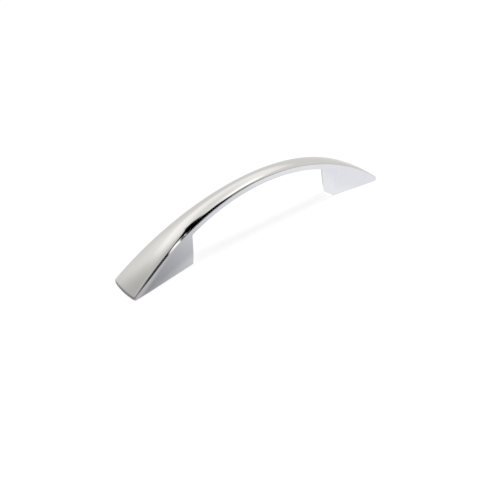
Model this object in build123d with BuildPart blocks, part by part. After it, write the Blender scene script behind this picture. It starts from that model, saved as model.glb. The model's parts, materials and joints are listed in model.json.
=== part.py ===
import os
from math import asin, atan, cos, degrees, exp, pi, radians, sin, sqrt, tan

from build123d import *

# Arch pull for a drawer or cabinet front: one zinc die casting, polished and chrome plated.
# Millimetres. X runs along the pull, Y across it, Z out from the furniture front.
# The mounting faces of both feet lie in the plane z = 0.

# The whole pull
overall_length = 130.0
projection = 25.0
end_width = 14.6
waist_width = 7.2
tip_height = 1.2

# Crown: almost flat over the ends, well rounded at the waist
crown_rise_end = 0.45
crown_rise_waist = 1.2

# Edges between flank and crown: tangent arcs that open up towards the crown, as shares of the mean radius
edge_radius_end = 0.9
edge_radius_waist = 2.0
edge_shares = (0.7, 0.9, 1.1, 1.3)

# Flanks: upright under the edge, curving in towards the mounting face
flank_radius = 60.0

# Ends of the casting
end_bow = 0.6
end_corner_radius = 1.35
nose_radius = 0.5

# Finger gap between the feet and under the bar
finger_gap = 75.8
bar_thickness_waist = 4.2
bar_thickness_foot = 4.45
inner_face_draft = 0.25
gap_corner_radius = 0.8
gap_edge_radius = 0.5

# Mounting faces
base_chamfer = 0.3

# Tapped holes for M4 machine screws, at their core diameter
hole_spacing = 96.0
hole_core_diameter = 3.3
hole_mouth_diameter = 4.3
hole_depth = 9.0

# Stock under the sections, cut away later by the mounting plane and the finger gap
foot_stock = 2.0
bar_stock = 11.0
stock_fall = 2.5

# Worked-out sizes
half_length = overall_length / 2
arch_height = projection - crown_rise_waist
arch_sag = arch_height - tip_height
arch_radius = (half_length**2 + arch_sag**2) / (2 * arch_sag)
inner_face_x = finger_gap / 2
underside_height = projection - bar_thickness_waist


def blend(x, waist, end):
    """A size that changes with the square of the distance from the waist."""
    return waist + (end - waist) * (x / half_length) ** 2


def ridge_z(x):
    """Height of the crown's ridge: a circular arch, and on it the rise of the crown."""
    arch_z = arch_height - arch_radius + sqrt(arch_radius**2 - x**2)
    return arch_z + blend(x, crown_rise_waist, crown_rise_end)


def floor_z(x):
    """Lower end of a section: in the finger gap under the bar, below the mounting plane at the feet."""
    bar_floor = underside_height - bar_stock
    return (bar_floor + foot_stock) * exp(-stock_fall * (x / inner_face_x) ** 2) - foot_stock


# Sections across the pull, from end to end
stations = [inner_face_x / 2, inner_face_x, (inner_face_x + half_length) / 2, half_length]
stations = [-x for x in reversed(stations)] + [0.0] + stations

with BuildPart() as arch_pull:
    # Flanks, edges and crown
    for x in stations:
        half_width = blend(x, waist_width, end_width) / 2
        crown_slope = 2 * atan(blend(x, crown_rise_waist, crown_rise_end) / half_width)
        radii = [share * blend(x, edge_radius_waist, edge_radius_end) for share in edge_shares]
        turn = (pi / 2 - crown_slope) / len(radii)
        edge_inset = sum(r * (cos(i * turn) - cos((i + 1) * turn)) for i, r in enumerate(radii))
        edge_rise = sum(r * (sin((i + 1) * turn) - sin(i * turn)) for i, r in enumerate(radii))
        flank_z = ridge_z(x) - (half_width - edge_inset) * tan(crown_slope / 2) - edge_rise
        flank_angle = asin((flank_z - floor_z(x)) / flank_radius)
        with BuildSketch(Plane.YZ.offset(x)) as section:
            with BuildLine() as outline:
                flank = JernArc((half_width, flank_z), (0, -1), flank_radius, -degrees(flank_angle))
                curve = JernArc((half_width, flank_z), (0, 1), radii[0], degrees(turn))
                for radius in radii[1:]:
                    curve = JernArc(curve @ 1, curve % 1, radius, degrees(turn))
                mirror(outline.edges(), about=Plane.YZ)
                crown_end = curve @ 1
                ThreePointArc(crown_end, (0, ridge_z(x)), (-crown_end.X, crown_end.Y))
                flank_end = flank @ 1
                Line(flank_end, (-flank_end.X, flank_end.Y))
            make_face()
    loft()

    # Mounting plane, and ends bowed in plan with rounded corners
    with BuildSketch(Plane.XY) as plan:
        with BuildLine():
            corner = (half_length - end_bow, end_width / 2)
            right_end = ThreePointArc((corner[0], -corner[1]), (half_length, 0), corner)
            left_end = ThreePointArc((-corner[0], corner[1]), (-half_length, 0), (-corner[0], -corner[1]))
            Line(right_end @ 1, left_end @ 0)
            Line(left_end @ 1, right_end @ 0)
        make_face()
        fillet(plan.vertices(), radius=end_corner_radius)
    extrude(amount=projection + foot_stock, mode=Mode.INTERSECT)
    short_edges = arch_pull.edges().filter_by(lambda edge: edge.length < end_width)
    nose_edges = short_edges.filter_by(lambda edge: min((edge @ 0).Z, (edge @ 1).Z) > tip_height / 4)
    fillet(nose_edges, radius=nose_radius)

    # Finger gap
    with BuildSketch(Plane.XZ) as gap:
        with BuildLine():
            inner_face_height = ridge_z(inner_face_x) - bar_thickness_foot
            foot_x = inner_face_x + inner_face_height * tan(radians(inner_face_draft))
            inner_top = (inner_face_x, inner_face_height)
            arch = ThreePointArc((-inner_top[0], inner_top[1]), (0, underside_height), inner_top)
            Polyline(arch @ 1, (foot_x, 0), (-foot_x, 0), arch @ 0)
        make_face()
        fillet(gap.vertices().group_by(Axis.Y)[-1], radius=gap_corner_radius)
    extrude(amount=end_width, both=True, mode=Mode.SUBTRACT)
    side_edges = arch_pull.edges(Select.LAST).filter_by(lambda edge: abs((edge @ 0.5).Y) > waist_width / 8)
    gap_edges = side_edges.filter_by(lambda edge: (edge @ 0.5).Z > base_chamfer)
    fillet(gap_edges, radius=gap_edge_radius)
    chamfer(arch_pull.faces().group_by(Axis.Z)[0].edges(), length=base_chamfer)

    # Tapped holes
    with Locations(Plane.XY.rotated((180, 0, 0))):
        with GridLocations(hole_spacing, 0, 2, 1):
            CounterSinkHole(
                radius=hole_core_diameter / 2,
                counter_sink_radius=hole_mouth_diameter / 2,
                depth=hole_depth,
                counter_sink_angle=90,
            )

arch_pull.part.label = "arch_pull"
os.makedirs("parts", exist_ok=True)
export_step(arch_pull.part, "parts/arch_pull.step")
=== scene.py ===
import json
from math import cos, pi, radians, sin

import bmesh
import bpy
import numpy as np
from mathutils import Matrix, Vector
from mathutils.geometry import tessellate_polygon

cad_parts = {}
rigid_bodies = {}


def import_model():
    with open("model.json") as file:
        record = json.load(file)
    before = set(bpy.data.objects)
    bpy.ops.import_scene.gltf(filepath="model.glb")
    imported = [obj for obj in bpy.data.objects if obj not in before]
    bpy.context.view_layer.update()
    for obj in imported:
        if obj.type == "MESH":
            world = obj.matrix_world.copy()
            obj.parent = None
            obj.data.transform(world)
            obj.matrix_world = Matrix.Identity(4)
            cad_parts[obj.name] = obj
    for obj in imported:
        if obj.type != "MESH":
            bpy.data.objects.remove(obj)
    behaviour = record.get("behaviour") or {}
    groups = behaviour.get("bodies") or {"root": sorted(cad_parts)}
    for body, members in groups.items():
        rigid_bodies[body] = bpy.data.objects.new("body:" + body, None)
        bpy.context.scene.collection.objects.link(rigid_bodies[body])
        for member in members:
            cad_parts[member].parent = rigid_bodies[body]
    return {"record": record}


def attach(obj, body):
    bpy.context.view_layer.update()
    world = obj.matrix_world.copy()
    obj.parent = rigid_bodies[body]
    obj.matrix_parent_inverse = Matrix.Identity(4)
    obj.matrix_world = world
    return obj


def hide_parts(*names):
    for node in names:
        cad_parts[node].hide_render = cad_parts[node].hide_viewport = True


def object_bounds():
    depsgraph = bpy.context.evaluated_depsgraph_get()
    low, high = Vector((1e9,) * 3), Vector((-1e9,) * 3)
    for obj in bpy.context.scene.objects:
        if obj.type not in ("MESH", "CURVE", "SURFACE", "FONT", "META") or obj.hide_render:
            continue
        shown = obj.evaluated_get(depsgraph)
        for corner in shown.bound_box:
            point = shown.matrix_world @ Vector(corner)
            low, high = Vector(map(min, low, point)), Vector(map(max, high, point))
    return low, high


for leftover in list(bpy.data.objects):
    bpy.data.objects.remove(leftover)

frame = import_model()
cad_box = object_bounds()
scene = bpy.context.scene
mounts = {mount["name"]: mount for mount in frame["record"]["mounts"]}

# Sizes of the casting, in metres and degrees
half_length = cad_box[1][0]
projection = cad_box[1][2]
end_width = 0.0146
waist_width = 0.0072
tip_height = 0.0012
crown_rise_end = 0.00045
crown_rise_waist = 0.0012
edge_radius_end = 0.0009
edge_radius_waist = 0.0020
edge_shares = (0.7, 0.9, 1.1, 1.3)
flank_radius = 0.060
end_bow = 0.0006
end_corner_radius = 0.00135
nose_radius = 0.0005
inner_face_x = 0.0379
bar_thickness_waist = 0.0042
bar_thickness_foot = 0.00445
inner_face_draft = 0.25
gap_corner_radius = 0.0008
gap_edge_radius = 0.0005
base_chamfer = 0.0003

# Tapped holes. The flats of the thread, at crest and root alike, are a share of its pitch.
hole_x = abs(mounts["thread_1"]["pos_m"][0])
hole_core_radius = mounts["thread_1"]["dims"]["r_mm"] / 1000
hole_mouth_radius = 0.00215
hole_depth = 0.009
thread_pitch = 0.0007
thread_depth = 0.00036
thread_flat = 1 / 12
thread_end = 0.0082

# Divisions of the mesh
crown_steps = 14
edge_steps = 5
flank_steps = 10
inner_face_steps = 26
gap_corner_steps = 10
arch_steps = 120
foot_steps = 84
round_steps = 5
gap_steps = 6
hole_steps = 48
thread_steps = 10

# Searches, welds and smoothing of the mesh
slope_step = 1e-6
weld_distance = 1e-7
gap_edge_rounds = 6
nose_rounds = 40
nose_search_start = 1e-5
nose_search_reach = 4 * end_corner_radius
sharp_angle = 35

# Worked-out sizes
arch_height = projection - crown_rise_waist
arch_sag = arch_height - tip_height
arch_radius = (half_length**2 + arch_sag**2) / (2 * arch_sag)
underside_height = projection - bar_thickness_waist
arc_count = 1 + len(edge_shares)
edge_last_row = crown_steps + edge_steps * len(edge_shares)

# Camera, in metres, degrees and pixels
camera_aim = Vector((0, 0, 0.010))
camera_bearing = 49.904
camera_elevation = 28.1
camera_roll = -2.676
camera_distance = 0.203306
camera_near = 0.01
image_pixels = 480
focal_pixels = 501.242
principal_point = (264.879, 202.396)
sensor_width = 36.0

# Chrome and bare zinc
chrome_tone = (0.79, 0.79, 0.79, 1)
chrome_shade = (0.76, 0.76, 0.765, 1)
zinc_tone = (0.50, 0.50, 0.51, 1)
zinc_shade = (0.40, 0.40, 0.41, 1)
polished_roughness = (0.04, 0.06)
cloud_roughness = (0, 0.02)
zinc_roughness = (0.38, 0.55)
polish_bump = 0.01
zinc_bump = 0.25
bump_height = 0.00001

# Bare zinc shows in the holes, with a margin round them, and on the mounting faces up to a small height
zinc_margin = 1.01
zinc_face_height = base_chamfer / 20

# Noise of the surface: stretch along the axes, scale and detail. The ranges are the values that are used.
polish_noise = ((1, 30, 30), 160, 3)
cloud_noise = ((1, 1, 1), 90, 4)
grain_noise = ((1, 1, 1), 4200, 2)
noise_range = (0.3, 0.7)
cloud_range = (0.35, 0.65)

# Sockets of the mix node by data type: both inputs and the output
mix_sockets = {"FLOAT": (2, 3, 0), "RGBA": (6, 7, 2)}

# Floor, with the levels of the cards that lie just over it, then the overhead lamp and the world
floor_reach = 3.0
floor_level = -0.00010
shade_level = -0.00008
slot_level = -0.00006
contact_level = -0.00004
floor_glow = 0.86
floor_tone = (0.5, 0.5, 0.5, 1)
overhead_strength = 0.95
overhead_angle = 22.0
world_light = 0.05
white = (1, 1, 1, 1)

# Pairs below are where a change of tone begins and ends, apart from spans, places and counts of points.

# Light tent: points every so many degrees, closer round the dark slot
tent_radius = 2.9
tent_step = 1.0
tent_fine_step = 0.25
fine_bearings = (-110, -40)
fine_elevation = 45

# Tints of the tent and of the cards on the floor
warm_tint = (1.0, 0.985, 0.95, 1)
cool_tint = (0.97, 0.975, 1.02, 1)

# Cloth of the tent, by elevation in degrees: a lighter band between the walls and the top
tent_low = 0.78
tent_high = 1.05
tent_top = 0.87
band_rise = (36, 52)
band_fall = (62, 80)

# Window behind the pull, by the angle from its middle, and more light high up in front
window_direction = np.array((-0.20, 0.71, 0.67))
window_gain = 0.19
window_spread = (0, 30)
front_gain = 0.12
front_rise = (50, 60)
front_side = (0, 0.25)

# Bright spot of the lamp on the cloth
spot_direction = np.array((0.421, -0.520, 0.743))
spot_gain = 0.60
spot_edge = (5, 13)

# Grey on the camera's side of a plane through the pull. Edges of planes are products of normal and direction.
grey_plane = np.array((-0.835, -0.529, -0.153))
grey_edge = (-0.18, 0.08)
tent_grey_low = 0.54
tent_grey_high = 0.65
grey_rise = (35, 70)

# Shade in front, beside the slot and low down
front_turn = (0.4, 0.6)
half_shade_loss = 0.45
half_shade_edge = (-0.42, -0.34)
half_shade_top = (30, 40)
low_shade_loss = 0.18
low_shade_top = (8, 18)

# Dark slot, between two planes through the pull. The upper one shifts with the elevation.
slot_top = np.array((-0.903, -0.296, -0.308))
slot_top_edge = (-0.03, 0.03)
slot_top_shift = -0.18
slot_widening = 0.09
slot_widening_rise = (5, 30)
slot_narrowing = 0.055
slot_narrowing_rise = (45, 58)
slot_narrowing_fall = (72, 80)
slot_side = np.array((1.0, -0.044, 0.19))
slot_side_edge = (-0.015, 0.01)
skirt_top = (8, 14)
skirt_side = (-0.16, -0.06)

# White strips in the slot, measured across it: the long glint and the dot beside it
gleam_tone = 1.35
gleam_axis = np.array((1.0, -0.163, 0.5135))
gleam_start = (0.393, 0.400)
gleam_end = (0.455, 0.463)
gleam_top = (36, 46)
dot_start = (0.486, 0.491)
dot_end = (0.495, 0.500)
dot_base = (6, 12)
dot_top = (32, 40)

# Painted shade on the floor round the pull, in metres: dark at the near end and lighter along the bar
shade_x = (-0.16, 0.30)
shade_y = (-0.10, 0.03)
shade_points = (461, 261)
shade_tone = 0.36
bar_gain = 0.50
bar_turn = (-0.062, -0.006)
far_gain = 0.13
far_turn = (0.005, 0.040)

# Painted light on the floor along the slot at the near foot, and close to the pull
rim_gain = 0.22
rim_end = (-0.055, -0.030)
rim_width = (0.0012, 0.0030)
base_gain = 0.15
base_loss = 0.09
base_turn = (-0.02, 0.02)
base_edge = (-0.0085, -0.004)

# Painted shade on the floor past the near end, and a darker strip along the line that the far inner face
# mirrors at its edge
end_share = 0.45
end_softness = 0.001
end_edge = (-half_length - end_softness, -half_length + end_softness)
mirror_slope = 1.19
mirror_edge = (0.0014, 0.0026)
mirror_start = (0.005, 0.011)
mirror_loss = 0.30

# Floor behind the pull
back_x = (-0.6, 0.6)
back_y = (0.03, 0.75)
back_points = (13, 25)
back_tone = 0.95
back_loss = 0.19
back_turn = (0.03, 0.10)

# Foot of the slot on the floor, in front of a bent line
slot_line_start = (-0.053, -0.0126)
slot_line_slope = -0.40
slot_line_bend = -4.0
slot_x = (-0.09, 0.30)
slot_reach = 0.2
slot_points = (391, 201)
slot_overlap = 0.0002
slot_tone = 0.03
slot_near_gain = 0.30
slot_near_end = (-0.066, -0.052)
slot_far_gain = 0.62
slot_far_start = (-0.012, 0.012)
floor_gleam_slant = 0.32
floor_gleam_y = -0.021
floor_gleam_start = (-0.0388, -0.0378)
floor_gleam_end = (-0.0315, -0.0305)

# Painted contact shadows: dim lines on the floor along the feet
contact_width = 0.0008
contact_points = (56, 3)
near_contact_shadow_tone = 0.25
far_contact_shadow_tone = 0.50


def blend(x, waist, end):
    """A size that changes with the square of the distance from the waist."""
    return waist + (end - waist) * (x / half_length) ** 2


def ridge_z(x):
    """Height of the crown's ridge: a circular arch, and on it the rise of the crown."""
    arch_z = arch_height - arch_radius + np.sqrt(arch_radius**2 - x**2)
    return arch_z + blend(x, crown_rise_waist, crown_rise_end)


def section_arcs(x):
    """Radius and turn of each arc of a section, from the ridge to the flank: the crown, then the edge."""
    half_width = blend(x, waist_width, end_width) / 2
    slope = 2 * np.arctan(blend(x, crown_rise_waist, crown_rise_end) / half_width)
    turn = (pi / 2 - slope) / len(edge_shares)
    edge_radius = blend(x, edge_radius_waist, edge_radius_end)
    radii = [share * edge_radius for share in reversed(edge_shares)]
    angles = [slope + i * turn for i in range(len(edge_shares) + 1)]
    inset = sum(r * (np.sin(angles[i + 1]) - np.sin(angles[i])) for i, r in enumerate(radii))
    crown_radius = (half_width - inset) / np.sin(slope)
    return [crown_radius] + radii, [slope] + [turn] * len(edge_shares)


def crown_and_edge(x, s):
    """y, z and tilt of the surface, where s counts the section's arcs from the ridge."""
    y = np.zeros_like(x)
    z = ridge_z(x)
    tilt = np.zeros_like(x)
    for i, (radius, turn) in enumerate(zip(*section_arcs(x))):
        next_tilt = tilt + turn * np.clip(s - i, 0, 1)
        y = y + radius * (np.sin(next_tilt) - np.sin(tilt))
        z = z + radius * (np.cos(next_tilt) - np.cos(tilt))
        tilt = next_tilt
    return y, z, tilt


def flank_top(x):
    """Height at which the edge goes over into the flank."""
    return crown_and_edge(x, arc_count)[1]


def flank(x, z):
    """y and tilt of the flank, upright at its top and curving in below."""
    drop = np.clip((flank_top(x) - z) / flank_radius, 0, 1)
    y = blend(x, waist_width, end_width) / 2 - flank_radius + flank_radius * np.sqrt(1 - drop**2)
    return y, pi / 2 + np.arcsin(drop)


def section_point(x, s, z_turn):
    """y, z and tilt of the casting's outside. Past the edge, s runs down the flank: first to z_turn, and
    from there to the chamfer of the mounting face."""
    y, z, tilt = crown_and_edge(x, np.minimum(s, arc_count))
    flank_z = z + (z_turn - z) * np.clip(s - arc_count, 0, 1)
    flank_z = flank_z + (base_chamfer - flank_z) * np.clip(s - arc_count - 1, 0, 1)
    flank_y, flank_tilt = flank(x, flank_z)
    below = s > arc_count
    return np.where(below, flank_y, y), np.where(below, flank_z, z), np.where(below, flank_tilt, tilt)


def unit(vectors):
    """The same directions with length one."""
    return vectors / np.linalg.norm(vectors, axis=-1, keepdims=True)


def in_plan(vectors):
    """The vectors without their heights."""
    return vectors * (1, 1, 0)


def outside(x, s, turn_height):
    """Points and outward normals of the casting's outside. turn_height gives z_turn for x."""
    y, z, tilt = section_point(x, s, turn_height(x))
    y_next, z_next, _ = section_point(x + slope_step, s, turn_height(x + slope_step))
    y_back, z_back, _ = section_point(x - slope_step, s, turn_height(x - slope_step))
    along_y = (y_next - y_back) / (2 * slope_step)
    along_z = (z_next - z_back) / (2 * slope_step)
    lean = -(along_y * np.sin(tilt) + along_z * np.cos(tilt))
    normals = unit(np.stack([lean, np.sin(tilt), np.cos(tilt)], axis=-1))
    return np.stack([x, y, z], axis=-1), normals


def flank_points(x, z):
    """Points and outward normals of the flank at given x and z."""
    y, tilt = flank(x, z)
    along_y = (flank(x + slope_step, z)[0] - flank(x - slope_step, z)[0]) / (2 * slope_step)
    normals = unit(np.stack([-along_y * np.sin(tilt), np.sin(tilt), np.cos(tilt)], axis=-1))
    return np.stack([x, y, z], axis=-1), normals


def round_between(centres, start, end, radius):
    """Rows of points on a round edge, and their normals, which turn from the start to the end normals."""
    angle = np.arccos(np.clip(np.sum(start * end, axis=-1), -1, 1))[:, None, None]
    t = np.linspace(0, 1, round_steps + 1)[None, :, None]
    turned = np.sin((1 - t) * angle) * start[:, None] + np.sin(t * angle) * end[:, None]
    directions = turned / np.sin(angle)
    return centres[:, None] + radius * directions, directions


def gap_outline():
    """Points of the finger gap's outline in x and z, with normals into the casting: up one inner face, round
    the corner and along the underside to the middle."""
    draft = radians(inner_face_draft)
    inner_face_height = ridge_z(np.array(inner_face_x)) - bar_thickness_foot
    up = np.array((sin(draft), cos(draft)))
    face_normal = np.array((-cos(draft), sin(draft)))
    face_top = np.array((-inner_face_x, inner_face_height))
    rise = underside_height - inner_face_height
    arch = (inner_face_x**2 + rise**2) / (2 * rise)
    arch_centre = np.array((0, underside_height - arch))

    # Centre of the corner's round, on a line beside the inner face
    start = face_top - gap_corner_radius * face_normal - arch_centre
    along = np.dot(start, up)
    reach = arch - gap_corner_radius
    corner = arch_centre + start + up * (np.sqrt(along**2 - np.dot(start, start) + reach**2) - along)

    face_end = corner + gap_corner_radius * face_normal
    face_start = face_end + up * (base_chamfer - face_end[1]) / up[1]
    t = np.linspace(0, 1, inner_face_steps + 1)[:, None]
    face = face_start + (face_end - face_start) * t
    face_normals = np.repeat(face_normal[None], len(face), axis=0)

    underside_normal = (corner - arch_centre) / reach
    first = np.arctan2(face_normal[0], face_normal[1])
    second = np.arctan2(underside_normal[0], underside_normal[1])
    bends = np.linspace(first, second, gap_corner_steps + 1)[1:]
    spans = np.linspace(second, 0, arch_steps + 1)[1:]
    bend_normals = np.stack([np.sin(bends), np.cos(bends)], axis=-1)
    span_normals = np.stack([np.sin(spans), np.cos(spans)], axis=-1)
    bend = corner + gap_corner_radius * bend_normals
    span = arch_centre + arch * span_normals
    return np.concatenate([face, bend, span]), np.concatenate([face_normals, bend_normals, span_normals])


def gap_edge(points, inward):
    """Where the round along the gap leaves the flank: points, normals there and the centres of the round."""
    lift = np.zeros_like(points)
    for _ in range(gap_edge_rounds):
        target = points + gap_edge_radius * (inward + lift)
        contact, normals = flank_points(target[:, 0], target[:, 1])
        # The round starts level where it meets the chamfer
        normals[0, 2] = 0
        normals = unit(normals)
        lift = normals[:, (0, 2)]
    return contact, normals, contact - gap_edge_radius * normals


def end_distance(x, y):
    """How far a point lies inside the bowed outline of the end, and the outline's normal there."""
    bow = ((end_width / 2) ** 2 + end_bow**2) / (2 * end_bow)
    bow_x = bow - half_length
    corner_y = end_width / 2 - end_corner_radius
    corner_x = bow_x - np.sqrt((bow - end_corner_radius) ** 2 - corner_y**2)
    in_corner = y * (bow_x - corner_x) > corner_y * (bow_x - x)
    centre_x = np.where(in_corner, np.maximum(corner_x, x), bow_x)
    centre_y = np.where(in_corner, corner_y, 0)
    radius = np.where(in_corner, end_corner_radius, bow)
    across = np.hypot(x - centre_x, y - centre_y)
    normal = np.stack([(x - centre_x) / across, (y - centre_y) / across, np.zeros_like(x)], axis=-1)
    return radius - across, normal


def nose_start(s, turn_height):
    """x at which each row of the outside goes over into the round of the nose, found by halving."""
    outer = np.full_like(s, nose_search_start - half_length)
    inner = outer + nose_search_reach
    for _ in range(nose_rounds):
        middle = (outer + inner) / 2
        points, normals = outside(middle, s, turn_height)
        centres = points - nose_radius * normals
        clear = end_distance(centres[:, 0], centres[:, 1])[0] > nose_radius
        inner = np.where(clear, middle, inner)
        outer = np.where(clear, outer, middle)
    return inner


def section_rows(face_side):
    """Values of s for the rows of the bar, and for the rows below them on the foot. face_side is the edge of
    the flank along the inner face, from the mounting face up."""
    bar_rows = [np.linspace(0, 1, crown_steps, endpoint=False)]
    bar_rows += [np.linspace(i, i + 1, edge_steps, endpoint=False) for i in range(1, arc_count)]
    bar_rows += [arc_count + np.linspace(0, 1, flank_steps + 1)]
    turn_z = face_side[-1, 2]
    lower_rows = arc_count + 1 + (turn_z - face_side[-2::-1, 2]) / (turn_z - base_chamfer)
    return np.concatenate(bar_rows), lower_rows


def bar_grid(rows, lower_edge):
    """The bar's outside from the inner face to the middle, down to the round along the finger gap."""
    columns = [outside(np.full_like(rows, x), rows, lambda _: z)[0] for x, _, z in lower_edge]
    return np.stack(columns, axis=1)


def foot_grid(rows, row_start, row_end, turn_height):
    """The foot's outside from the inner face to the nose."""
    shares = np.linspace(0, 1, foot_steps + 1)
    lengths = row_end - row_start
    columns = [outside(row_start + lengths * share, rows, turn_height)[0] for share in shares]
    return np.stack(columns, axis=1)


def nose_grid(rows, row_end, turn_height):
    """The round of the nose, its normals, and the normals of the end wall under it."""
    ends, normals = outside(row_end, rows, turn_height)
    # The round is level where it meets the chamfer
    normals[-1, 2] = 0
    normals = unit(normals)
    centres = ends - nose_radius * normals
    wall_normals = end_distance(centres[:, 0], centres[:, 1])[1]
    nose, nose_normals = round_between(centres, normals, wall_normals, nose_radius)
    return nose, nose_normals, wall_normals


def wall_grid(nose):
    """The end wall, from the nose down to the chamfer of the mounting face."""
    side = nose[edge_last_row:, -1]
    drops = (side[:, 2] - side[0, 2]) / (base_chamfer - side[0, 2])
    wall = np.repeat(nose[:edge_last_row + 1, -1:], len(drops), axis=1)
    wall[:, :, 2] += (base_chamfer - wall[:, :, 2]) * drops
    wall[-1] = side
    return wall


def quarter_grids():
    """Grids of points for the quarter of the casting with negative x and positive y."""
    profile, inward = gap_outline()
    contact, contact_normals, centres = gap_edge(profile, inward)
    face_side = contact[:inner_face_steps + 1]
    bar_rows, lower_rows = section_rows(face_side)
    rows = np.concatenate([bar_rows, lower_rows])
    bar = bar_grid(bar_rows, contact[inner_face_steps:])

    # Foot, nose and end wall
    turn_x, _, turn_z = face_side[-1]
    turn_share = (turn_z - base_chamfer) / (flank_top(turn_x) - base_chamfer)

    def foot_turn(x):
        """Height of the row on the foot's flank that goes on from the top of the inner face."""
        return base_chamfer + turn_share * (flank_top(x) - base_chamfer)

    row_start = np.concatenate([np.full_like(bar_rows, turn_x), face_side[-2::-1, 0]])
    row_end = nose_start(rows, foot_turn)
    foot = foot_grid(rows, row_start, row_end, foot_turn)
    foot[len(bar_rows):, 0] = face_side[-2::-1]
    nose, nose_normals, wall_normals = nose_grid(rows, row_end, foot_turn)
    wall = wall_grid(nose)
    outer = np.concatenate([foot, nose[:, 1:]], axis=1)

    # Finger gap and the round along it
    outward = np.stack([-inward[:, 0], np.zeros(len(inward)), -inward[:, 1]], axis=-1)
    outward[0] = unit(in_plan(outward[0]))
    edge, edge_normals = round_between(centres, contact_normals, outward, gap_edge_radius)
    # The faces of the gap run straight across, from the round to the middle
    across = np.linspace(1, 0, gap_steps + 1)[None, :, None]
    gap = edge[:, -1:] * np.where(np.arange(3) == 1, across, 1)

    # Chamfer of the mounting face
    flank_normals = outside(foot[-1, :, 0], np.full(foot_steps + 1, rows[-1]), foot_turn)[1]
    rim = np.concatenate([gap[0, :0:-1], edge[0, :0:-1], foot[-1], nose[-1, 1:], wall[-2::-1, -1]])
    rim_normals = np.concatenate([
        np.repeat(outward[:1], gap_steps, axis=0),
        edge_normals[0, :0:-1],
        unit(in_plan(flank_normals)),
        nose_normals[-1, 1:],
        wall_normals[edge_last_row - 1::-1],
    ])
    base_rim = in_plan(rim - base_chamfer * rim_normals)
    return [bar, outer, wall, edge, gap, np.stack([rim, base_rim])]


def add_grid(bm, grid):
    """Quads over a grid of points."""
    rows = [[bm.verts.new(point) for point in row] for row in grid]
    for row, next_row in zip(rows, rows[1:]):
        for i in range(len(row) - 1):
            bm.faces.new((row[i], row[i + 1], next_row[i + 1], next_row[i]))


def hole_rings():
    """Radius and height of the hole's rings, by angle: the countersink, the thread and the end."""
    angles = np.linspace(0, 2 * pi, hole_steps, endpoint=False)
    thread_start = hole_mouth_radius - hole_core_radius
    count = round((thread_end - thread_start) / thread_pitch * thread_steps)
    rings = [(np.full_like(angles, hole_mouth_radius), 0)]
    for z in np.linspace(thread_start, thread_end, count + 1):
        phase = (z / thread_pitch + angles / (2 * pi)) % 1
        from_crest = np.abs(phase - 1 / 2)
        groove = np.clip((from_crest - thread_flat / 2) / (1 / 2 - thread_flat), 0, 1)
        fade = min(1, (z - thread_start) / thread_pitch, (thread_end - z) / thread_pitch)
        rings.append((hole_core_radius + thread_depth * fade * groove, z))
    rings.append((np.full_like(angles, hole_core_radius), hole_depth))
    return angles, rings


def add_hole(bm, centre_x):
    """One tapped blind hole. Returns the points of its mouth."""
    angles, rings = hole_rings()
    loops = []
    for radius, z in rings:
        x = centre_x + radius * np.cos(angles)
        y = radius * np.sin(angles)
        loops.append([bm.verts.new((x[i], y[i], z)) for i in range(hole_steps)])
    for loop, next_loop in zip(loops, loops[1:]):
        for i in range(hole_steps):
            j = (i + 1) % hole_steps
            bm.faces.new((loop[i], loop[j], next_loop[j], next_loop[i]))
    bm.faces.new(loops[-1])
    return loops[0]


def ordered_loop(edges):
    """The points of a closed loop of edges, one after the other."""
    loop = [edges[0].verts[0]]
    edge = edges[0]
    in_loop = set(edges)
    while True:
        vert = edge.other_vert(loop[-1])
        if vert is loop[0]:
            return loop
        loop.append(vert)
        edge = next(link for link in vert.link_edges if link in in_loop and link is not edge)


def fill_base(bm, rim, mouth):
    """The flat mounting face of a foot, round the mouth of its hole."""
    points = rim + mouth
    millimetres = [[1000 * point.co for point in loop] for loop in (rim, mouth)]
    for corners in tessellate_polygon(millimetres):
        bm.faces.new([points[i] for i in corners])


def make_pull():
    """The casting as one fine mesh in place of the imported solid, with its threads cut."""
    bm = bmesh.new()
    for grid in quarter_grids():
        for mirror_x in (1, -1):
            for mirror_y in (1, -1):
                add_grid(bm, grid * (mirror_x, mirror_y, 1))
    bmesh.ops.remove_doubles(bm, verts=bm.verts, dist=weld_distance)
    for side in (1, -1):
        rim = [edge for edge in bm.edges if edge.is_boundary and edge.verts[0].co.x * side > 0]
        fill_base(bm, ordered_loop(rim), add_hole(bm, side * hole_x))
    bmesh.ops.recalc_face_normals(bm, faces=bm.faces)
    mesh = bpy.data.meshes.new("pull_casting")
    bm.to_mesh(mesh)
    bm.free()
    mesh.shade_smooth()
    mesh.set_sharp_from_angle(angle=radians(sharp_angle))
    casting = bpy.data.objects.new("pull_casting", mesh)
    scene.collection.objects.link(casting)
    mesh.materials.append(chrome_material())
    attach(casting, "root")
    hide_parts("arch_pull")


def make_camera():
    """The photograph's view."""
    bearing = radians(camera_bearing)
    elevation = radians(camera_elevation)
    roll = radians(camera_roll)
    back = Vector((-cos(bearing) * cos(elevation), -sin(bearing) * cos(elevation), sin(elevation)))
    level_right = Vector((sin(bearing), -cos(bearing), 0))
    level_up = back.cross(level_right)
    right = cos(roll) * level_right + sin(roll) * level_up
    up = back.cross(right)
    data = bpy.data.cameras.new("camera")
    data.sensor_width = sensor_width
    data.lens = focal_pixels * sensor_width / image_pixels
    data.shift_x = (image_pixels / 2 - principal_point[0]) / image_pixels
    data.shift_y = (principal_point[1] - image_pixels / 2) / image_pixels
    data.clip_start = camera_near
    camera = bpy.data.objects.new("camera", data)
    camera.matrix_world = Matrix((right, up, back)).transposed().to_4x4()
    camera.location = camera_aim + camera_distance * back
    scene.collection.objects.link(camera)
    scene.camera = camera


def add_node(tree, kind, **settings):
    """A new node with the given settings."""
    node = tree.nodes.new(kind)
    for name, value in settings.items():
        setattr(node, name, value)
    return node


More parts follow.
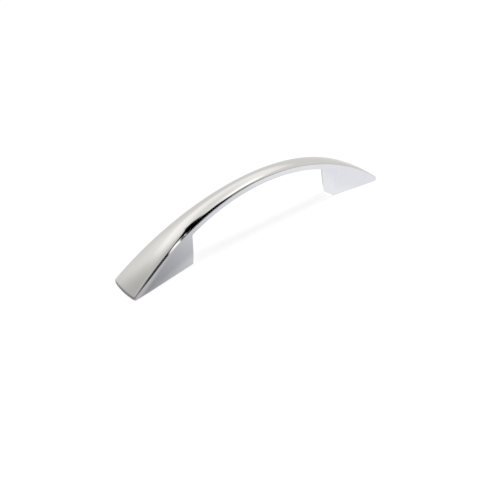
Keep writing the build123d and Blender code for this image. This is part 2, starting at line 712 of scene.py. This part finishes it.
def feed(tree, sockets, values):
    """Set each socket to a number, or link it to another socket."""
    for socket, value in zip(sockets, values):
        if isinstance(value, (int, float)):
            socket.default_value = value
        else:
            tree.links.new(value, socket)


def math_node(tree, operation, *values, clamp=False):
    """A sum, product or the like of sockets or numbers."""
    node = add_node(tree, "ShaderNodeMath", operation=operation, use_clamp=clamp)
    feed(tree, node.inputs, values)
    return node.outputs[0]


def mix_node(tree, factor, first, second, data_type="FLOAT"):
    """A number or colour that goes from the first to the second with the factor."""
    node = add_node(tree, "ShaderNodeMix", data_type=data_type)
    first_socket, second_socket, output = mix_sockets[data_type]
    sockets = (node.inputs[0], node.inputs[first_socket], node.inputs[second_socket])
    feed(tree, sockets, (factor, first, second))
    return node.outputs[output]


def range_node(tree, value, source, target):
    """A value carried smoothly from one range to another."""
    node = add_node(tree, "ShaderNodeMapRange", interpolation_type="SMOOTHSTEP")
    node.inputs["From Min"].default_value = source[0]
    node.inputs["From Max"].default_value = source[1]
    node.inputs["To Min"].default_value = target[0]
    node.inputs["To Max"].default_value = target[1]
    tree.links.new(value, node.inputs["Value"])
    return node.outputs[0]


def ramp_node(tree, factor, low, high):
    """A colour that goes from low to high over the range of a noise."""
    node = add_node(tree, "ShaderNodeValToRGB")
    for element, position, color in zip(node.color_ramp.elements, noise_range, (low, high)):
        element.position = position
        element.color = color
    tree.links.new(factor, node.inputs[0])
    return node.outputs[0]


def noise_node(tree, position, stretch, scale, detail):
    """Noise over the object's own coordinates, stretched along its axes."""
    mapping = add_node(tree, "ShaderNodeMapping")
    mapping.inputs["Scale"].default_value = stretch
    tree.links.new(position, mapping.inputs["Vector"])
    noise = add_node(tree, "ShaderNodeTexNoise")
    noise.inputs["Scale"].default_value = scale
    noise.inputs["Detail"].default_value = detail
    tree.links.new(mapping.outputs[0], noise.inputs["Vector"])
    return noise.outputs["Fac"]


def bare_zinc_mask(tree, position):
    """One on the mounting faces and inside the tapped holes, nought on the polished outside."""
    axes = add_node(tree, "ShaderNodeSeparateXYZ")
    tree.links.new(position, axes.inputs[0])
    x, y, z = axes.outputs
    from_hole = math_node(tree, "SUBTRACT", math_node(tree, "ABSOLUTE", x), hole_x)
    along = math_node(tree, "MULTIPLY", from_hole, from_hole)
    across = math_node(tree, "MULTIPLY", y, y)
    distance = math_node(tree, "SQRT", math_node(tree, "ADD", along, across))
    near_axis = math_node(tree, "LESS_THAN", distance, hole_mouth_radius * zinc_margin)
    low = math_node(tree, "LESS_THAN", z, hole_depth * zinc_margin)
    face = math_node(tree, "LESS_THAN", z, zinc_face_height)
    return math_node(tree, "MAXIMUM", math_node(tree, "MULTIPLY", near_axis, low), face)


def chrome_material():
    """Polished chrome with faint polishing lines, and matt zinc where the casting isn't polished."""
    material = bpy.data.materials.new("plating")
    material.use_nodes = True
    tree = material.node_tree
    shader = tree.nodes["Principled BSDF"]
    position = add_node(tree, "ShaderNodeTexCoord").outputs["Object"]
    zinc = bare_zinc_mask(tree, position)
    polish = noise_node(tree, position, *polish_noise)
    cloud = noise_node(tree, position, *cloud_noise)
    grain = noise_node(tree, position, *grain_noise)

    chrome_color = ramp_node(tree, cloud, chrome_shade, chrome_tone)
    zinc_color = ramp_node(tree, grain, zinc_shade, zinc_tone)
    color = mix_node(tree, zinc, chrome_color, zinc_color, "RGBA")
    tree.links.new(color, shader.inputs["Base Color"])

    polish_blur = range_node(tree, polish, noise_range, polished_roughness)
    cloud_blur = range_node(tree, cloud, cloud_range, cloud_roughness)
    zinc_blur = range_node(tree, grain, noise_range, zinc_roughness)
    roughness = mix_node(tree, zinc, math_node(tree, "ADD", polish_blur, cloud_blur), zinc_blur)
    tree.links.new(roughness, shader.inputs["Roughness"])

    bump = add_node(tree, "ShaderNodeBump")
    bump.inputs["Distance"].default_value = bump_height
    tree.links.new(mix_node(tree, zinc, polish_bump, zinc_bump), bump.inputs["Strength"])
    tree.links.new(mix_node(tree, zinc, polish, grain), bump.inputs["Height"])
    tree.links.new(bump.outputs[0], shader.inputs["Normal"])
    shader.inputs["Metallic"].default_value = 1
    return material


def seen_directly(tree):
    """One for camera, glossy and transmission rays."""
    path = add_node(tree, "ShaderNodeLightPath")
    mirrored = math_node(tree, "ADD", path.outputs["Is Glossy Ray"], path.outputs["Is Transmission Ray"])
    return math_node(tree, "ADD", path.outputs["Is Camera Ray"], mirrored, clamp=True)


def flat_grid(x_span, y_span, counts, z):
    """A level grid of points, with so many along x and along y."""
    x, y = np.meshgrid(np.linspace(*x_span, counts[0]), np.linspace(*y_span, counts[1]))
    return np.stack([x, y, np.full_like(x, z)], axis=-1)


def stage_grid(name, grid, tones=None):
    """A surface of the studio over a grid of points, with a tone for each point if given."""
    rows, columns = grid.shape[:2]
    corner = np.arange(rows * columns).reshape(rows, columns)
    corners = [corner[:-1, :-1], corner[:-1, 1:], corner[1:, 1:], corner[1:, :-1]]
    quads = np.stack(corners, axis=-1).reshape(-1, 4)
    mesh = bpy.data.meshes.new(name)
    mesh.from_pydata(grid.reshape(-1, 3).tolist(), [], quads.tolist())
    if tones is not None:
        mesh.attributes.new("tone", "FLOAT", "POINT").data.foreach_set("value", tones.reshape(-1))
    surface = bpy.data.objects.new(name, mesh)
    scene.collection.objects.link(surface)
    return surface


def make_card(name, grid, tones, tint):
    """A card of the studio that only the metal sees, with the tone of each point."""
    card = stage_grid(name, grid, tones)
    material = bpy.data.materials.new(name)
    material.use_nodes = True
    tree = material.node_tree
    tree.nodes.clear()
    tone = add_node(tree, "ShaderNodeAttribute", attribute_name="tone")
    glow = add_node(tree, "ShaderNodeEmission")
    glow.inputs["Color"].default_value = tint
    tree.links.new(tone.outputs["Fac"], glow.inputs["Strength"])
    output = add_node(tree, "ShaderNodeOutputMaterial")
    tree.links.new(glow.outputs[0], output.inputs["Surface"])
    card.data.materials.append(material)
    card.visible_camera = False
    card.visible_diffuse = False
    card.visible_shadow = False


def smooth_step(limits, value):
    """Nought before the first limit, one past the second, and smooth between them."""
    t = np.clip((value - limits[0]) / (limits[1] - limits[0]), 0, 1)
    return t * t * (3 - 2 * t)


def between(rise, fall, value):
    """One from the end of the rise to the start of the fall, and nought outside both."""
    return smooth_step(rise, value) * (1 - smooth_step(fall, value))


def angle_from(centre, direction):
    """Angle of each direction from a central one, in degrees."""
    return np.degrees(np.arccos(np.clip(direction @ centre, -1, 1)))


def tent_directions():
    """Directions from the pull to the points of the tent, and their elevations in degrees."""
    first, last = fine_bearings
    bearings = np.concatenate([
        np.arange(-180, first, tent_step),
        np.arange(first, last, tent_fine_step),
        np.arange(last, 180 + tent_step, tent_step),
    ])
    elevations = np.concatenate([
        np.arange(0, fine_elevation, tent_fine_step),
        np.arange(fine_elevation, 90 + tent_step, tent_step),
    ])
    bearing, height = np.meshgrid(np.radians(bearings), np.radians(elevations))
    flat = np.cos(height)
    direction = np.stack([np.cos(bearing) * flat, np.sin(bearing) * flat, np.sin(height)], axis=-1)
    return direction, np.degrees(height)


def cloth_tone(direction, elevation):
    """Tone of the tent's cloth: light with a lighter band and a window, and grey on the camera's side."""
    light = tent_low + (tent_high - tent_low) * smooth_step(band_rise, elevation)
    light = light - (tent_high - tent_top) * smooth_step(band_fall, elevation)
    light = light + window_gain * (1 - smooth_step(window_spread, angle_from(window_direction, direction)))
    high_in_front = smooth_step(front_rise, elevation) * smooth_step(front_side, -direction[:, :, 1])
    light = light + front_gain * high_in_front
    grey = tent_grey_low + (tent_grey_high - tent_grey_low) * smooth_step(grey_rise, elevation)
    return light + (grey - light) * smooth_step(grey_edge, direction @ grey_plane)


def in_front(direction):
    """One on the side of the tent that the near flank faces."""
    return smooth_step(front_turn, -direction[:, :, 1])


def front_shade(direction, elevation):
    """Share of the light that is lost in front, beside the slot and low down."""
    beside = smooth_step(half_shade_edge, direction @ slot_top) * (1 - smooth_step(half_shade_top, elevation))
    low = 1 - smooth_step(low_shade_top, elevation)
    return in_front(direction) * np.maximum(half_shade_loss * beside, low_shade_loss * low)


def slot_mask(direction, elevation):
    """One inside the dark slot and its skirt near the floor."""
    skirt = (1 - smooth_step(skirt_top, elevation)) * in_front(direction)
    skirt = skirt * smooth_step(skirt_side, direction[:, :, 0])
    beside = np.maximum(skirt, smooth_step(slot_side_edge, direction @ slot_side))
    shift = slot_top_shift - slot_widening * smooth_step(slot_widening_rise, elevation)
    shift = shift + slot_narrowing * between(slot_narrowing_rise, slot_narrowing_fall, elevation)
    return beside * smooth_step(slot_top_edge, direction @ slot_top - shift)


def gleam_mask(direction, elevation):
    """One on the two white strips of the slot."""
    across = direction @ gleam_axis
    gleam = between(gleam_start, gleam_end, across) * (1 - smooth_step(gleam_top, elevation))
    dot = between(dot_start, dot_end, across) * between(dot_base, dot_top, elevation)
    return gleam + dot


def make_tent():
    """The light tent: soft light overhead and behind, grey on the camera's side, a dark slot between them."""
    direction, elevation = tent_directions()
    slot = slot_mask(direction, elevation)
    tone = cloth_tone(direction, elevation) * (1 - front_shade(direction, elevation))
    tone = tone * (1 - slot) + gleam_tone * gleam_mask(direction, elevation) * slot
    spot = 1 - smooth_step(spot_edge, angle_from(spot_direction, direction))
    tone = tone + spot_gain * (1 - slot) * spot
    make_card("light_tent", tent_radius * direction, tone, warm_tint)


def slot_line(x):
    """Where the dark slot of the tent meets the floor in front of the pull."""
    along = x - slot_line_start[0]
    return slot_line_start[1] + slot_line_slope * along + slot_line_bend * along**2


def make_floor_shade():
    """Painted shade and light on the floor round the pull, as the flanks, the ends and the inner faces mirror
    it.
    """
    grid = flat_grid(shade_x, shade_y, shade_points, shade_level)
    x = grid[:, :, 0]
    y = grid[:, :, 1]
    tones = shade_tone + bar_gain * smooth_step(bar_turn, x) + far_gain * smooth_step(far_turn, x)
    near_foot = 1 - smooth_step(rim_end, x)
    # painted light on the floor along the slot at the near foot, and close to the pull
    tones = tones + rim_gain * near_foot * (1 - smooth_step(rim_width, y - slot_line(x)))
    tones = tones + (base_gain - base_loss * smooth_step(base_turn, x)) * smooth_step(base_edge, y)
    # painted shade on the floor past the near end
    tones = tones * (end_share + (1 - end_share) * smooth_step(end_edge, x))
    beyond_face = y - mirror_slope * (inner_face_x - x)
    mirrored_edge = smooth_step(mirror_edge, beyond_face) * smooth_step(mirror_start, y)
    tones = tones * (1 - mirror_loss * mirrored_edge)
    make_card("floor_shade", grid, tones, cool_tint)


def make_floor_back():
    """The floor behind the pull, a little darker further off."""
    grid = flat_grid(back_x, back_y, back_points, shade_level)
    tones = back_tone - back_loss * smooth_step(back_turn, grid[:, :, 1])
    make_card("floor_back", grid, tones, warm_tint)


def make_floor_slot():
    """The foot of the dark slot on the floor, with the foot of its glint."""
    grid = flat_grid(slot_x, (0, slot_reach), slot_points, slot_level)
    x = grid[:, :, 0]
    y = slot_line(x) + slot_overlap - grid[:, :, 1]
    grid[:, :, 1] = y
    along = x + floor_gleam_slant * (y - floor_gleam_y)
    near = 1 - smooth_step(slot_near_end, x)
    far = smooth_step(slot_far_start, along)
    gleam = smooth_step(floor_gleam_start, along) - smooth_step(floor_gleam_end, along)
    tones = slot_tone + slot_near_gain * near + gleam_tone * gleam + slot_far_gain * far
    make_card("floor_slot", grid, tones, cool_tint)


def make_contact_shadow(name, x_span, tone):
    """A painted contact shadow: a dim line on the floor along a foot, which the flank mirrors at its lower
    edge.
    """
    grid = flat_grid(x_span, (0, contact_width), contact_points, contact_level)
    grid[:, :, 1] -= flank(grid[:, :, 0], base_chamfer)[0]
    make_card(name, grid, np.full(grid.shape[:2], tone), cool_tint)


def make_floor_cards():
    """All cards on the floor."""
    make_floor_shade()
    make_floor_back()
    make_floor_slot()
    make_contact_shadow("near_contact", (-half_length, -inner_face_x), near_contact_shadow_tone)
    make_contact_shadow("far_contact", (inner_face_x, half_length), far_contact_shadow_tone)


def make_floor():
    """White floor that keeps the pull's shadow and is clear from below."""
    span = (-floor_reach, floor_reach)
    floor = stage_grid("floor", flat_grid(span, span, (2, 2), floor_level))
    material = bpy.data.materials.new("floor")
    material.use_nodes = True
    tree = material.node_tree
    tree.nodes.clear()
    glow = add_node(tree, "ShaderNodeEmission")
    tree.links.new(math_node(tree, "MULTIPLY", seen_directly(tree), floor_glow), glow.inputs["Strength"])
    diffuse = add_node(tree, "ShaderNodeBsdfDiffuse")
    diffuse.inputs["Color"].default_value = floor_tone
    both = add_node(tree, "ShaderNodeAddShader")
    tree.links.new(glow.outputs[0], both.inputs[0])
    tree.links.new(diffuse.outputs[0], both.inputs[1])
    clear = add_node(tree, "ShaderNodeMixShader")
    tree.links.new(add_node(tree, "ShaderNodeNewGeometry").outputs["Backfacing"], clear.inputs[0])
    tree.links.new(both.outputs[0], clear.inputs[1])
    tree.links.new(add_node(tree, "ShaderNodeBsdfTransparent").outputs[0], clear.inputs[2])
    output = add_node(tree, "ShaderNodeOutputMaterial")
    tree.links.new(clear.outputs[0], output.inputs["Surface"])
    floor.data.materials.append(material)


def make_world():
    """White wherever the camera or the metal looks past the studio, and soft light for the floor."""
    world = bpy.data.worlds.new("world")
    scene.world = world
    world.use_nodes = True
    tree = world.node_tree
    background = tree.nodes["Background"]
    background.inputs["Color"].default_value = white
    strength = range_node(tree, seen_directly(tree), (0, 1), (world_light, 1))
    tree.links.new(strength, background.inputs["Strength"])


def make_light():
    """A soft lamp straight above that lights the floor evenly and isn't mirrored as a hard disc."""
    data = bpy.data.lights.new("overhead", "SUN")
    data.energy = overhead_strength
    data.angle = radians(overhead_angle)
    light = bpy.data.objects.new("overhead", data)
    light.visible_camera = False
    light.visible_glossy = False
    scene.collection.objects.link(light)


make_pull()
make_camera()
make_floor()
make_floor_cards()
make_tent()
make_world()
make_light()

scene.view_settings.view_transform = "Standard"
